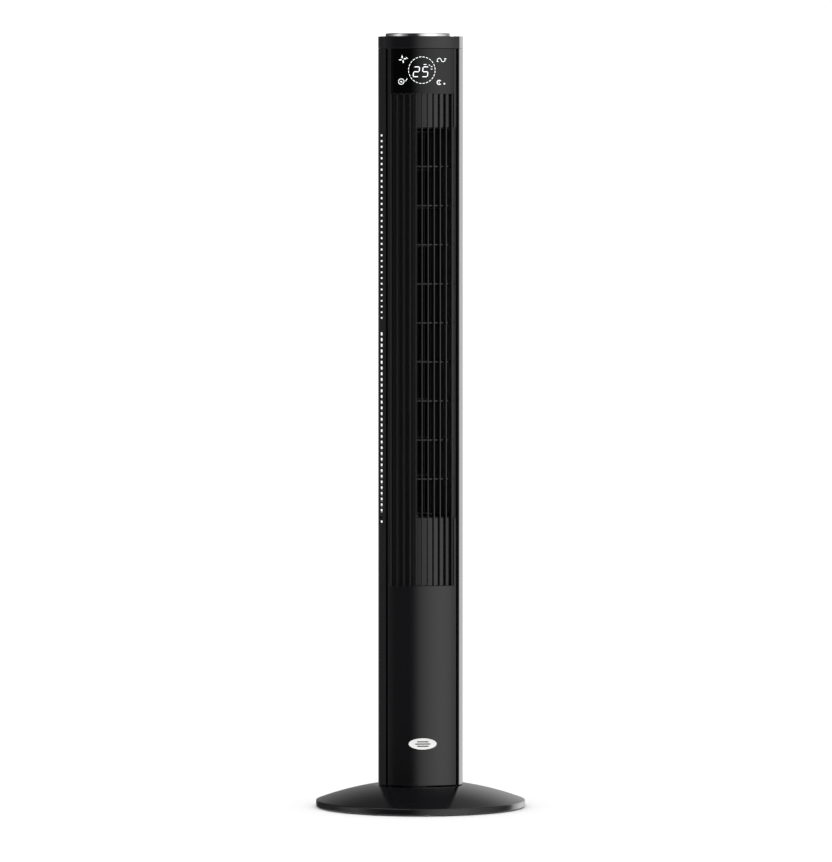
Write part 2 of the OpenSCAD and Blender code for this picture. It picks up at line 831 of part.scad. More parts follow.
module trim_ring() {
  color(c_steel) translate([0, ring_y, 0]) lift(cap_top_z, total_height) difference() {
    circle(r = ring_r, $fn = 192);
    circle(r = ring_r - 3.4, $fn = 192);
  }
}

function button_xy(i) = [(i - (button_count - 1) / 2) * 15, -16 + ring_y];

module control_plate() {
  color(c_gloss) difference() {
    union() {
      translate([0, ring_y, cap_top_z]) cylinder(r = ring_r - 3.7, h = 2.4, $fn = 192);
      translate([0, ring_y, cap_top_z - 2.4]) cylinder(r = 48.7, h = 2.5, $fn = 192);
    }
    for (i = [0:button_count - 1]) translate([button_xy(i)[0], button_xy(i)[1], 1170])
      cylinder(r = button_radius + 0.3, h = 30, $fn = 64);
  }
}

module key_board() {
  color(c_green) {
    translate([-40, -24, 1173.4]) cube([80, 34, 1.6]);
    for (s = [-1, 1]) translate([s * 37.6, -7, 1175]) cylinder(r = 2, h = cap_top_z - 2.4 - 1175, $fn = 32);
  }
}

module key_switches() {
  color(c_dark) for (i = [0:button_count - 1]) translate([button_xy(i)[0], button_xy(i)[1], 1175]) {
    translate([-3, -3, 0]) cube([6, 6, 3.4]);
    cylinder(r = 1.7, h = 4.2, $fn = 32);
  }
}

// Button with a dished top and a stem that rests on its switch
module button(i) {
  color(c_satin) translate([button_xy(i)[0], button_xy(i)[1], 0]) difference() {
    union() {
      translate([0, 0, 1182]) cylinder(r = button_radius, h = 5.8, $fn = 64);
      translate([0, 0, 1180.3]) cylinder(r = 2, h = 2, $fn = 32);
    }
    translate([0, 0, 1187.8 + 17.4]) sphere(r = 18, $fn = 96);
  }
}

module button_power() { button(0); }
module button_speed() { button(1); }
module button_mode() { button(2); }
module button_swing() { button(3); }
module button_timer() { button(4); }

foot_cover();
foot_base();
ballast_plate();
rubber_pads();
foot_screws();
cord_gland();
swing_column();
column_screws();
thrust_ring();
fixed_gear();
gear_screws();
turntable();
turntable_screws();
swing_bracket();
swing_motor();
bracket_screws();
swing_pinion();
rear_shell();
front_panel();
panel_screws();
front_grille();
display_lens();
display_ring();
display_digits();
display_icons();
display_board();
display_screws();
badge();
scroll_wall();
air_tongue();
duct_floor();
duct_ceiling();
duct_screws();
motor_can();
motor_stator();
motor_bushes();
motor_screws();
motor_rotor();
drive_shaft();
impeller();
top_stub();
top_bearing();
main_board();
board_parts();
board_screws();
top_cap();
trim_ring();
control_plate();
key_board();
key_switches();
button_power();
button_speed();
button_mode();
button_swing();
button_timer();
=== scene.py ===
import math

import bmesh
import bpy
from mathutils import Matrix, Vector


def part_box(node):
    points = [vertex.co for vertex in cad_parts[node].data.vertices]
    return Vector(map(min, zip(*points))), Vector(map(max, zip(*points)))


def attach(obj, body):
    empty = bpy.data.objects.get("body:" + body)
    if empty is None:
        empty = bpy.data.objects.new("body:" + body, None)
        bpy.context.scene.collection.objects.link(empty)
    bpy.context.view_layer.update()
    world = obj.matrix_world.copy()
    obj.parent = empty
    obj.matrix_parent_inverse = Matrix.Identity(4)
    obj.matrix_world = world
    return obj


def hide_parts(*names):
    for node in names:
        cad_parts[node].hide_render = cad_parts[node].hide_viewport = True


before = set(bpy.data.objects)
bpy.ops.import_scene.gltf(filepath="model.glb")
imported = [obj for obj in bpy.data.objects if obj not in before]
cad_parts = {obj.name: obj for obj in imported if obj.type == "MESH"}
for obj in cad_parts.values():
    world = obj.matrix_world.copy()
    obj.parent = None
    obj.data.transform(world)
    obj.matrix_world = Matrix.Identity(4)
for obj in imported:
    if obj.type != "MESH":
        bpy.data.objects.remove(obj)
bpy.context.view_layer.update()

MM = 0.001
scene = bpy.context.scene


# ---------- Camera ----------
# A long lens far in front of the fan, a little to its left and just below
# its top, so the sides stay nearly upright and the foot is seen from above.

camera_distance = 9.8
camera_side = math.radians(-4.3)
camera_height = 0.9588
camera_down = math.radians(2.220)
camera_aim_left = math.radians(0.0404)

camera_data = bpy.data.cameras.new("camera")
camera_data.lens = 266.45
camera_data.sensor_width = 36
camera_data.clip_end = 60
camera = bpy.data.objects.new("camera", camera_data)
camera.location = (camera_distance * math.sin(camera_side),
                   -camera_distance * math.cos(camera_side), camera_height)
camera.rotation_euler = (math.pi / 2 - camera_down, 0, camera_side + camera_aim_left)
scene.collection.objects.link(camera)
scene.camera = camera


# ---------- Studio ----------
# A white room with a white floor. The black plastics take their look from a
# ring of soft light panels round the fan, which only shows in reflections.

def linear(hex_colour):
    """Turns an sRGB hex colour into the linear colour that a shader takes."""
    channels = [int(hex_colour[i:i + 2], 16) / 255 for i in (1, 3, 5)]
    flat = [c / 12.92 if c <= 0.04045 else ((c + 0.055) / 1.055) ** 2.4 for c in channels]
    return (*flat, 1.0)


def add(tree, kind, inputs=None, **settings):
    """Adds one node. An input is a plain value, or another node's output to link."""
    node = tree.nodes.new(kind)
    for name, value in settings.items():
        setattr(node, name, value)
    for name, value in (inputs or {}).items():
        if isinstance(value, bpy.types.NodeSocket):
            tree.links.new(value, node.inputs[name])
        else:
            node.inputs[name].default_value = value
    return node


def blank(name):
    """A new material with nothing in it but its output, and that output's surface."""
    material = bpy.data.materials.new(name)
    material.use_nodes = True
    tree = material.node_tree
    tree.nodes.clear()
    output = add(tree, "ShaderNodeOutputMaterial")
    return material, tree, output.inputs["Surface"]


def mesh_piece(name, points, faces, material, smooth=True):
    """One object from its points and faces, in the frame's own metres."""
    mesh = bpy.data.meshes.new(name)
    mesh.from_pydata([tuple(p) for p in points], [], faces)
    mesh.validate()
    mesh.materials.append(material)
    mesh.polygons.foreach_set("use_smooth", [smooth] * len(mesh.polygons))
    piece = bpy.data.objects.new(name, mesh)
    scene.collection.objects.link(piece)
    return piece


world = bpy.data.worlds.new("white_room")
world.use_nodes = True
room_light = world.node_tree.nodes["Background"]
room_light.inputs["Color"].default_value = linear("#ffffff")
room_light.inputs["Strength"].default_value = 1.12
scene.world = world
scene.view_settings.view_transform = "Standard"

floor_white, tree, surface = blank("white_vinyl_floor")
mottle = add(tree, "ShaderNodeTexNoise", {"Scale": 3.0, "Detail": 2.0})
tint = add(tree, "ShaderNodeMix", {0: mottle.outputs["Fac"], 6: linear("#fcfcfc"), 7: linear("#fefefe")},
           data_type="RGBA")
shader = add(tree, "ShaderNodeBsdfDiffuse", {"Color": tint.outputs[2]})
tree.links.new(shader.outputs["BSDF"], surface)
floor_half = 40.0
floor = mesh_piece("floor", [(-floor_half, -floor_half, 0), (floor_half, -floor_half, 0),
                             (floor_half, floor_half, 0), (-floor_half, floor_half, 0)],
                   [(0, 1, 2, 3)], floor_white)
floor.visible_glossy = False

# Brightness of the panel ring by direction in degrees: 0 is straight in front,
# 90 the fan's right. It is dim at front left, bright from front to right, and
# has one strong strip behind on the right that lights the body's edge.
panel_light = [
    (-180, 0.26), (-167, 0.24), (-161, 0.04), (-134, 0.09), (-110, 0.2), (-80, 0.9),
    (-60, 0.26), (-47, 0.1), (-42, 0.025), (-17, 0.025), (-12.5, 0.085), (-7.7, 0.265),
    (-3, 0.545), (2, 0.795), (7, 0.935), (16, 1.195), (26, 1.365), (36, 1.465), (47, 1.355),
    (57, 0.975), (80, 0.66), (100, 0.25), (112, 0.35), (121, 2.7), (138, 2.6), (150, 1.6),
    (161, 0.85), (172, 0.5), (180, 0.26)]
brightest = max(level for _, level in panel_light)

panels, tree, surface = blank("soft_light_panels")
place = add(tree, "ShaderNodeTexCoord")
across = add(tree, "ShaderNodeSeparateXYZ", {"Vector": place.outputs["Object"]})
toward_front = add(tree, "ShaderNodeMath", {0: across.outputs["Y"], 1: -1.0}, operation="MULTIPLY")
direction = add(tree, "ShaderNodeMath", {0: across.outputs["X"], 1: toward_front.outputs[0]},
                operation="ARCTAN2")
turn = add(tree, "ShaderNodeMapRange", {"Value": direction.outputs[0], "From Min": -math.pi,
                                        "From Max": math.pi, "To Min": 0.0, "To Max": 1.0})
ramp = add(tree, "ShaderNodeValToRGB", {"Fac": turn.outputs[0]})
stops = ramp.color_ramp.elements
for degrees, level in panel_light[1:-1]:
    stops.new((degrees + 180) / 360).color = (level / brightest,) * 3 + (1.0,)
for stop, (degrees, level) in ((stops[0], panel_light[0]), (stops[-1], panel_light[-1])):
    stop.color = (level / brightest,) * 3 + (1.0,)
full_below, dim_above, dim_share = 1.3, 4.5, 0.3
fall_off = add(tree, "ShaderNodeMapRange", {
    "Value": across.outputs["Z"], "From Min": full_below, "From Max": dim_above,
    "To Min": brightest, "To Max": dim_share * brightest}, interpolation_type="SMOOTHSTEP")
shader = add(tree, "ShaderNodeEmission", {"Color": ramp.outputs["Color"],
                                          "Strength": fall_off.outputs[0]})
tree.links.new(shader.outputs["Emission"], surface)

ring_radius, ring_low, ring_high, ring_steps = 6.0, -3.0, 8.0, 128
turns = [2 * math.pi * i / ring_steps for i in range(ring_steps)]
wall = [(ring_radius * math.sin(t), -ring_radius * math.cos(t), z)
        for z in (ring_low, ring_high) for t in turns]
light_ring = mesh_piece("light_panels", wall,
                        [(i, (i + 1) % ring_steps, ring_steps + (i + 1) % ring_steps, ring_steps + i)
                         for i in range(ring_steps)], panels)
light_ring.visible_camera = False
light_ring.visible_diffuse = False
light_ring.visible_shadow = False
light_ring.visible_transmission = False


# ---------- Foot cover ----------
# The visible foot: one shallow dome, injection moulded in black ABS to a semi
# gloss, with a rounded outer rim and a hole at the back for the cord gland.

def arc(centre_r, centre_z, radius, start, end, count):
    """Points along an arc in (radius, height), angles in degrees from outward."""
    angles = [math.radians(start + (end - start) * i / count) for i in range(count + 1)]
    return [(centre_r + radius * math.cos(a), centre_z + radius * math.sin(a)) for a in angles]


def lathe(name, outline, material, steps=256, middle=(0.0, 0.0)):
    """Turns a closed outline of (radius, height) points round an upright axis."""
    count = len(outline)
    points = [(middle[0] + r * math.cos(2 * math.pi * s / steps),
               middle[1] + r * math.sin(2 * math.pi * s / steps), z)
              for s in range(steps) for r, z in outline]
    faces = [(s * count + k, (s + 1) % steps * count + k,
              (s + 1) % steps * count + (k + 1) % count, s * count + (k + 1) % count)
             for s in range(steps) for k in range(count)]
    piece = mesh_piece(name, points, faces, material)
    face_outward(piece)
    return piece


def face_outward(piece):
    """Makes every face of a closed piece look outward."""
    shape = bmesh.new()
    shape.from_mesh(piece.data)
    bmesh.ops.recalc_face_normals(shape, faces=shape.faces)
    shape.to_mesh(piece.data)
    shape.free()


def crisp(piece, angle=30):
    """Smooth shading that keeps every edge sharper than the angle."""
    piece.data.set_sharp_from_angle(angle=math.radians(angle))


# Semi-gloss ABS: near black under a soft gloss, clouded in patches near 60 mm,
# with fine scuffs about 1.5 mm across from being handled and dusted.
abs_foot, tree, surface = blank("semi_gloss_black_abs")
place = add(tree, "ShaderNodeTexCoord")
clouding = add(tree, "ShaderNodeTexNoise", {"Vector": place.outputs["Object"], "Scale": 1 / (60 * MM),
                                            "Detail": 3.0})
foot_colour = add(tree, "ShaderNodeMix", {0: clouding.outputs["Fac"], 6: linear("#101012"),
                                          7: linear("#141416")}, data_type="RGBA")
scuffs = add(tree, "ShaderNodeTexNoise", {"Vector": place.outputs["Object"], "Scale": 1 / (1.5 * MM),
                                          "Detail": 2.0})
foot_polish = add(tree, "ShaderNodeMapRange", {"Value": scuffs.outputs["Fac"], "To Min": 0.13,
                                               "To Max": 0.19})
shader = add(tree, "ShaderNodeBsdfPrincipled", {
    "Base Color": foot_colour.outputs[2], "Roughness": foot_polish.outputs[0], "IOR": 1.5})
tree.links.new(shader.outputs["BSDF"], surface)

ball_radius = 454 * MM
dome_peak = 40.4 * MM
ball_height = dome_peak - ball_radius
cover_low, cover_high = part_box("foot_cover")
cover_radius, deck = cover_high.x, cover_high.z
cover_skin = 2.6 * MM
rim_round = 1.6 * MM
lip_round = 0.5 * MM
column_hole = 18.2 * MM


def dome_angle(radius, ball):
    """The angle on the dome's arc at a distance from the axis."""
    return math.degrees(math.acos(radius / ball))


flat_edge = math.sqrt(ball_radius ** 2 - (deck - ball_height) ** 2)
rim_centre = cover_radius - rim_round
rim_height = ball_height + math.sqrt((ball_radius - rim_round) ** 2 - rim_centre ** 2)
tangent = math.degrees(math.atan2(rim_height - ball_height, rim_centre))
inner_ball = ball_radius - cover_skin
inner_deck = deck - cover_skin
inner_flat = math.sqrt(inner_ball ** 2 - (inner_deck - ball_height) ** 2)
inner_wall = cover_radius - cover_skin

cover_outline = (
    [(column_hole, deck)]
    + arc(0, ball_height, ball_radius, dome_angle(flat_edge, ball_radius), tangent, 40)
    + arc(rim_centre, rim_height, rim_round, tangent, 0, 8)[1:]
    + arc(cover_radius - lip_round, cover_low.z + lip_round, lip_round, 0, -90, 4)
    + [(inner_wall, cover_low.z)]
    + arc(0, ball_height, inner_ball, dome_angle(inner_wall, inner_ball),
          dome_angle(inner_flat, inner_ball), 24)
    + [(column_hole, inner_deck)])
foot_shell = lathe("foot_shell", cover_outline, abs_foot)

gland_low, gland_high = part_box("cord_gland")
gland_height = (gland_low.z + gland_high.z) / 2
gland_hole = 4.0 * MM
drill_steps = 48
drill_past = 2 * MM
drill_ends = (gland_low.y - drill_past, cover_radius + 2 * drill_past)
drill_points = [(gland_hole * math.cos(2 * math.pi * i / drill_steps), y,
                 gland_height + gland_hole * math.sin(2 * math.pi * i / drill_steps))
                for y in drill_ends for i in range(drill_steps)]
drill_faces = [(i, (i + 1) % drill_steps, drill_steps + (i + 1) % drill_steps, drill_steps + i)
               for i in range(drill_steps)]
drill_faces += [tuple(range(drill_steps)), tuple(range(2 * drill_steps - 1, drill_steps - 1, -1))]
drill = mesh_piece("drill", drill_points, drill_faces, abs_foot)
face_outward(drill)


def cut(piece, cutter):
    """Takes the cutter's shape out of the piece for good, and deletes the cutter."""
    hole = piece.modifiers.new("hole", "BOOLEAN")
    hole.operation = "DIFFERENCE"
    hole.solver = "EXACT"
    hole.object = cutter
    shape = bpy.data.meshes.new_from_object(
        piece.evaluated_get(bpy.context.evaluated_depsgraph_get()))
    piece.modifiers.clear()
    piece.data = shape
    bpy.data.objects.remove(cutter)


cut(foot_shell, drill)
crisp(foot_shell)
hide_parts("foot_cover")
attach(foot_shell, "foot")


# ---------- Foot underside and mouldings that don't show much ----------
# Structural parts inside and under: mould-textured black polypropylene, dull
# with a fine spark-eroded grain, all injection moulded and left as moulded.

def dress(material, *names):
    """Gives CAD parts their finish."""
    for name in names:
        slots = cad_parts[name].data.materials
        slots.clear()
        slots.append(material)


# Textured polypropylene: dark, broad highlights. The real grain is 0.3 mm and
# is drawn at 0.8 mm so that it shows; pigment streaks run about 25 mm.
polypropylene, tree, surface = blank("textured_black_polypropylene")
place = add(tree, "ShaderNodeTexCoord")
streak = add(tree, "ShaderNodeTexNoise", {"Vector": place.outputs["Object"], "Scale": 1 / (25 * MM),
                                          "Detail": 3.0})
body_colour = add(tree, "ShaderNodeMix", {0: streak.outputs["Fac"], 6: linear("#08080a"),
                                          7: linear("#101012")}, data_type="RGBA")
grain = add(tree, "ShaderNodeTexNoise", {"Vector": place.outputs["Object"], "Scale": 1 / (0.8 * MM),
                                         "Detail": 2.0})
sheen = add(tree, "ShaderNodeMapRange", {"Value": grain.outputs["Fac"], "To Min": 0.45, "To Max": 0.62})
texture = add(tree, "ShaderNodeBump", {"Height": grain.outputs["Fac"], "Strength": 0.25,
                                       "Distance": 0.05 * MM})
shader = add(tree, "ShaderNodeBsdfPrincipled", {
    "Base Color": body_colour.outputs[2], "Roughness": sheen.outputs[0], "IOR": 1.49,
    "Normal": texture.outputs["Normal"]})
tree.links.new(shader.outputs["BSDF"], surface)
dress(polypropylene, "foot_base", "swing_column", "turntable", "air_tongue", "duct_floor",
      "duct_ceiling", "impeller")


# ---------- Ballast ----------
# A flat iron plate, cast and left rough, which keeps the tall fan upright. It
# lies hidden between the foot cover and the base plate.

# Rough cast iron: grey, dull, with a sand texture of about 1.5 mm and rust in blooms.
cast_iron, tree, surface = blank("rough_cast_iron")
place = add(tree, "ShaderNodeTexCoord")
bloom = add(tree, "ShaderNodeTexNoise", {"Vector": place.outputs["Object"], "Scale": 1 / (30 * MM),
                                         "Detail": 6.0})
iron_colour = add(tree, "ShaderNodeMix", {0: bloom.outputs["Fac"], 6: linear("#4d4b4a"),
                                          7: linear("#6a5a50")}, data_type="RGBA")
sand = add(tree, "ShaderNodeTexVoronoi", {"Vector": place.outputs["Object"], "Scale": 1 / (1.5 * MM)})
pits = add(tree, "ShaderNodeBump", {"Height": sand.outputs["Distance"], "Strength": 0.5,
                                    "Distance": 0.2 * MM})
shader = add(tree, "ShaderNodeBsdfPrincipled", {
    "Base Color": iron_colour.outputs[2], "Roughness": 0.75, "Metallic": 0.8,
    "Normal": pits.outputs["Normal"]})
tree.links.new(shader.outputs["BSDF"], surface)
dress(cast_iron, "ballast_plate")


# ---------- Rubber pads and cord gland ----------
# Six moulded rubber feet glued under the base, each with two grooves round its
# sole, and the rubber gland that lines the cord's hole at the back.

# Matt rubber: black with a grey dusting, no highlight. The dust sits in 6 mm patches.
rubber, tree, surface = blank("moulded_matt_rubber")
place = add(tree, "ShaderNodeTexCoord")
dust = add(tree, "ShaderNodeTexNoise", {"Vector": place.outputs["Object"], "Scale": 1 / (6 * MM),
                                        "Detail": 5.0})
rubber_colour = add(tree, "ShaderNodeMix", {0: dust.outputs["Fac"], 6: linear("#161616"),
                                            7: linear("#2a2a29")}, data_type="RGBA")
skin_bump = add(tree, "ShaderNodeBump", {"Height": dust.outputs["Fac"], "Strength": 0.2,
                                         "Distance": 0.1 * MM})
shader = add(tree, "ShaderNodeBsdfPrincipled", {
    "Base Color": rubber_colour.outputs[2], "Roughness": 0.85, "IOR": 1.52,
    "Normal": skin_bump.outputs["Normal"]})
tree.links.new(shader.outputs["BSDF"], surface)
dress(rubber, "cord_gland")

pads_low, pads_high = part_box("rubber_pads")
pad_radius = 10 * MM
pad_orbit = pads_high.x - pad_radius
pad_top = pads_high.z
groove = 0.5 * MM
pad_round = 0.5 * MM
pad_core = 0.4 * MM
groove_slope = 0.4 * MM
sole_grooves = ((3.0 * MM, 5.0 * MM), (7.0 * MM, 8.6 * MM))
pad_sole = [point for start, end in sole_grooves for point in
            ((start, 0), (start + groove_slope, groove), (end - groove_slope, groove), (end, 0))]
pad_outline = ([(pad_core, 0)] + pad_sole
               + arc(pad_radius - pad_round, pad_round, pad_round, -90, 0, 5)
               + [(pad_radius, pad_top), (pad_core, pad_top)])
pad_count = 6
for i in range(pad_count):
    turn_by = 2 * math.pi * i / pad_count
    pad = lathe(f"rubber_pad_{i + 1}", pad_outline, rubber, 64,
                (pad_orbit * math.cos(turn_by), pad_orbit * math.sin(turn_by)))
    crisp(pad)
    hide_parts("rubber_pads")
    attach(pad, "foot")


# ---------- Screws, shaft and brackets ----------
# Bought steel parts with a bright zinc plating: cross-head screws, the drive
# shaft and its stub, the fan motor's can, and the swing motor with its bracket.

# Zinc plate: pale blue-grey metal with a soft shine and a spangle of about 3 mm.
zinc_steel, tree, surface = blank("zinc_plated_steel")
place = add(tree, "ShaderNodeTexCoord")
spangle = add(tree, "ShaderNodeTexVoronoi", {"Vector": place.outputs["Object"], "Scale": 1 / (3 * MM)})
zinc_colour = add(tree, "ShaderNodeMix", {0: spangle.outputs["Distance"], 6: linear("#b9bec2"),
                                          7: linear("#cdd1d3")}, data_type="RGBA")
zinc_shine = add(tree, "ShaderNodeMapRange", {"Value": spangle.outputs["Distance"], "To Min": 0.28,
                                              "To Max": 0.4})
shader = add(tree, "ShaderNodeBsdfPrincipled", {
    "Base Color": zinc_colour.outputs[2], "Roughness": zinc_shine.outputs[0], "Metallic": 1.0})
tree.links.new(shader.outputs["BSDF"], surface)
dress(zinc_steel, "foot_screws", "column_screws", "gear_screws", "turntable_screws",
      "bracket_screws", "panel_screws", "display_screws", "duct_screws", "motor_screws",
      "board_screws", "swing_bracket", "swing_motor", "motor_can", "drive_shaft", "top_stub")


# ---------- Gears and bearings ----------
# The thrust ring, both gears and the top bearing are machined or moulded from
# natural acetal, a hard waxy plastic that runs without grease.

# Natural acetal: warm white and waxy, with faint machining marks 0.6 mm apart.
acetal, tree, surface = blank("natural_acetal")
place = add(tree, "ShaderNodeTexCoord")
cloud = add(tree, "ShaderNodeTexNoise", {"Vector": place.outputs["Object"], "Scale": 1 / (15 * MM),
                                         "Detail": 2.0})
acetal_colour = add(tree, "ShaderNodeMix", {0: cloud.outputs["Fac"], 6: linear("#e4e2da"),
                                            7: linear("#efeee8")}, data_type="RGBA")
marks = add(tree, "ShaderNodeTexNoise", {"Vector": place.outputs["Object"], "Scale": 1 / (0.6 * MM)})
fine_marks = add(tree, "ShaderNodeBump", {"Height": marks.outputs["Fac"], "Strength": 0.1,
                                          "Distance": 0.03 * MM})
shader = add(tree, "ShaderNodeBsdfPrincipled", {
    "Base Color": acetal_colour.outputs[2], "Roughness": 0.38, "IOR": 1.48,
    "Normal": fine_marks.outputs["Normal"]})
tree.links.new(shader.outputs["BSDF"], surface)
dress(acetal, "thrust_ring", "fixed_gear", "swing_pinion", "top_bearing")


# ---------- Motor ----------
# A small induction motor: a stack of stamped iron sheets, a squirrel-cage
# rotor, and the three bushes that hang it from the floor of the air duct.

# Stamped iron stack: dark grey with its sheet edges, which are 0.5 mm apart and
# drawn as lines 1.5 mm wide to show. A wave texture's own lines are 0.16 wide.
sheet_line = 1.5 * MM
lamination, tree, surface = blank("laminated_motor_iron")
place = add(tree, "ShaderNodeTexCoord")
sheets = add(tree, "ShaderNodeTexWave", {
    "Vector": place.outputs["Object"], "Scale": 0.16 / sheet_line, "Distortion": 0.3},
    bands_direction="Z")
iron_colour = add(tree, "ShaderNodeMix", {0: sheets.outputs["Fac"], 6: linear("#6b6c70"),
                                          7: linear("#8a8b8e")}, data_type="RGBA")
shader = add(tree, "ShaderNodeBsdfPrincipled", {
    "Base Color": iron_colour.outputs[2], "Roughness": 0.5, "Metallic": 0.9})
tree.links.new(shader.outputs["BSDF"], surface)
dress(lamination, "motor_stator", "motor_rotor")

# Sintered bronze: brownish gold, satin, with open pores of about 0.5 mm.
bronze, tree, surface = blank("sintered_bronze")
place = add(tree, "ShaderNodeTexCoord")
pores = add(tree, "ShaderNodeTexNoise", {"Vector": place.outputs["Object"], "Scale": 1 / (0.5 * MM)})
bronze_colour = add(tree, "ShaderNodeMix", {0: pores.outputs["Fac"], 6: linear("#8a6a3c"),
                                            7: linear("#c29a5c")}, data_type="RGBA")
shader = add(tree, "ShaderNodeBsdfPrincipled", {
    "Base Color": bronze_colour.outputs[2], "Roughness": 0.45, "Metallic": 1.0})
tree.links.new(shader.outputs["BSDF"], surface)
dress(bronze, "motor_bushes")


# ---------- Circuit boards ----------
# Glass-epoxy boards under a green solder mask, with their components. They
# sit behind the lower panel, the display and the push buttons.

# Solder mask: glossy green over copper tracks, which show as paler lanes 0.5 mm
# wide, since a brick texture's rows are a quarter of its unit.
solder_mask, tree, surface = blank("green_solder_mask")
place = add(tree, "ShaderNodeTexCoord")
tracks = add(tree, "ShaderNodeTexBrick", {
    "Vector": place.outputs["Object"], "Color1": linear("#1d5b3a"), "Color2": linear("#226744"),
    "Mortar": linear("#17492f"), "Scale": 1 / (2 * MM), "Mortar Size": 0.06})
shader = add(tree, "ShaderNodeBsdfPrincipled", {
    "Base Color": tracks.outputs["Color"], "Roughness": 0.3, "IOR": 1.55})
tree.links.new(shader.outputs["BSDF"], surface)
dress(solder_mask, "main_board", "display_board", "key_board")

# Potted component cases: dull dark epoxy with a 1 mm mottle.
epoxy, tree, surface = blank("moulded_epoxy_cases")
place = add(tree, "ShaderNodeTexCoord")
mottle = add(tree, "ShaderNodeTexNoise", {"Vector": place.outputs["Object"], "Scale": 1 / (1 * MM)})
epoxy_colour = add(tree, "ShaderNodeMix", {0: mottle.outputs["Fac"], 6: linear("#202124"),
                                           7: linear("#34363a")}, data_type="RGBA")
shader = add(tree, "ShaderNodeBsdfPrincipled", {
    "Base Color": epoxy_colour.outputs[2], "Roughness": 0.55, "IOR": 1.55})
tree.links.new(shader.outputs["BSDF"], surface)
dress(epoxy, "board_parts", "key_switches")


# ---------- Air duct ----------
# The scroll that turns the air towards the outlet, moulded in grey ABS. It
# shows as a paler wall behind the right edge of the outlet.

# Grey ABS, as moulded: even mid grey, satin, with a 1 mm texture.
grey_abs, tree, surface = blank("satin_grey_abs")
place = add(tree, "ShaderNodeTexCoord")
shade = add(tree, "ShaderNodeTexNoise", {"Vector": place.outputs["Object"], "Scale": 1 / (35 * MM),
                                         "Detail": 3.0})
grey_colour = add(tree, "ShaderNodeMix", {0: shade.outputs["Fac"], 6: linear("#3c3d40"),
                                          7: linear("#46474a")}, data_type="RGBA")
fine = add(tree, "ShaderNodeTexNoise", {"Vector": place.outputs["Object"], "Scale": 1 / (1 * MM)})
fine_bump = add(tree, "ShaderNodeBump", {"Height": fine.outputs["Fac"], "Strength": 0.15,
                                         "Distance": 0.04 * MM})
shader = add(tree, "ShaderNodeBsdfPrincipled", {
    "Base Color": grey_colour.outputs[2], "Roughness": 0.5, "IOR": 1.5,
    "Normal": fine_bump.outputs["Normal"]})
tree.links.new(shader.outputs["BSDF"], surface)
dress(grey_abs, "scroll_wall")


# ---------- Body ----------
# The rounded back with its side louvres, in satin ABS, and the front panel and
# ribbed grille, in polished ABS, each held to the back by screws from inside.

# Polished ABS: a near black body under a clear mirror gloss, with mould flow
# waves about 12 mm long and a haze from handling in patches near 40 mm. The
# light that its edges catch is that of the 0.8 mm radius the mould leaves.
abs_gloss, tree, surface = blank("polished_black_abs")
place = add(tree, "ShaderNodeTexCoord")
haze = add(tree, "ShaderNodeTexNoise", {"Vector": place.outputs["Object"], "Scale": 1 / (40 * MM),
                                        "Detail": 4.0})
body_colour = add(tree, "ShaderNodeMix", {0: haze.outputs["Fac"], 6: linear("#111113"),
                                          7: linear("#131315")}, data_type="RGBA")
polish = add(tree, "ShaderNodeMapRange", {"Value": haze.outputs["Fac"], "To Min": 0.07, "To Max": 0.13})
flow = add(tree, "ShaderNodeTexNoise", {"Vector": place.outputs["Object"], "Scale": 1 / (12 * MM),
                                        "Detail": 1.0})
edge_radius = 0.8 * MM
rounded = add(tree, "ShaderNodeBevel", {"Radius": edge_radius}, samples=8)
waviness = add(tree, "ShaderNodeBump", {"Height": flow.outputs["Fac"], "Strength": 0.02,
                                        "Distance": 0.1 * MM, "Normal": rounded.outputs["Normal"]})
shader = add(tree, "ShaderNodeBsdfPrincipled", {
    "Base Color": body_colour.outputs[2], "Roughness": polish.outputs[0], "IOR": 1.5,
    "Normal": waviness.outputs["Normal"]})
tree.links.new(shader.outputs["BSDF"], surface)

# Satin ABS: a deep black, matted by a 0.5 mm spark texture, drawn at 0.9 mm.
abs_satin, tree, surface = blank("satin_black_abs")
place = add(tree, "ShaderNodeTexCoord")
broad = add(tree, "ShaderNodeTexNoise", {"Vector": place.outputs["Object"], "Scale": 1 / (50 * MM),
                                         "Detail": 3.0})
satin_colour = add(tree, "ShaderNodeMix", {0: broad.outputs["Fac"], 6: linear("#0a0a0b"),
                                           7: linear("#0e0e10")}, data_type="RGBA")
satin_sheen = add(tree, "ShaderNodeMapRange", {"Value": broad.outputs["Fac"], "To Min": 0.17,
                                               "To Max": 0.23})
spark = add(tree, "ShaderNodeTexNoise", {"Vector": place.outputs["Object"], "Scale": 1 / (0.9 * MM)})
spark_bump = add(tree, "ShaderNodeBump", {"Height": spark.outputs["Fac"], "Strength": 0.08,
                                          "Distance": 0.03 * MM})
shader = add(tree, "ShaderNodeBsdfPrincipled", {
    "Base Color": satin_colour.outputs[2], "Roughness": satin_sheen.outputs[0], "IOR": 1.5,
    "Normal": spark_bump.outputs["Normal"]})
tree.links.new(shader.outputs["BSDF"], surface)
dress(abs_satin, "rear_shell")
dress(abs_gloss, "front_panel", "front_grille")


# ---------- Badge ----------
# A small oval plate stuck to the lower front, moulded in white plastic with a
# raised rim and three plain dark bars. It follows the panel's curve.

